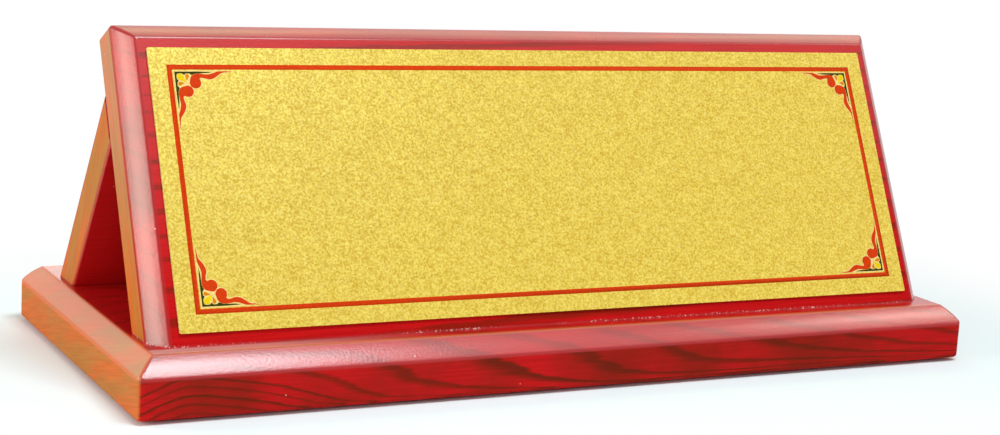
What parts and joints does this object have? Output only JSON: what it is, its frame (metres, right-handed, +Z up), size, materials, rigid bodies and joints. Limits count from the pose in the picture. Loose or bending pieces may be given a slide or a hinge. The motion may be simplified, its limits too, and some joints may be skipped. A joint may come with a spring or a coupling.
{
  "type": "desk name plate",
  "caption": "Free-standing desk name plate: a lacquered wooden front panel and rear prop lean together on a bevelled base, with a gold metal plate on the sloping face.",
  "frame": {"origin": "on the desk surface, under the middle of the base board", "axes": "+X along the plate to the reader's right, -Y towards the reader, +Z up"},
  "size_m": [0.247, 0.112, 0.0896],
  "materials": {
    "lacquered_wood": "red stained wood with dark grain under a glossy clear lacquer",
    "gold_plate": "sandblasted gold-tone sheet, fine matte speckle",
    "red_ink": "printed red-orange line and ornament ink",
    "green_ink": "printed dark green ornament ink",
    "yellow_ink": "printed yellow ornament ink",
    "tape": "off-white double-sided tape",
    "screw_steel": "yellow zinc plated steel",
    "dowel_wood": "plain beech, unlacquered",
    "felt": "black pressed felt"
  },
  "bodies": {
    "root": {"base_board": "lacquered_wood", "front_panel": "lacquered_wood", "rear_panel": "lacquered_wood", "face_plate": "gold_plate", "tape_strip_upper": "tape", "tape_strip_middle": "tape", "tape_strip_lower": "tape", "base_screw_front_left": "screw_steel", "base_screw_front_right": "screw_steel", "base_screw_rear_left": "screw_steel", "base_screw_rear_right": "screw_steel", "apex_dowel_left": "dowel_wood", "apex_dowel_right": "dowel_wood", "felt_pad_front_left": "felt", "felt_pad_front_right": "felt", "felt_pad_rear_left": "felt", "felt_pad_rear_right": "felt"}
  },
  "joints": []
}
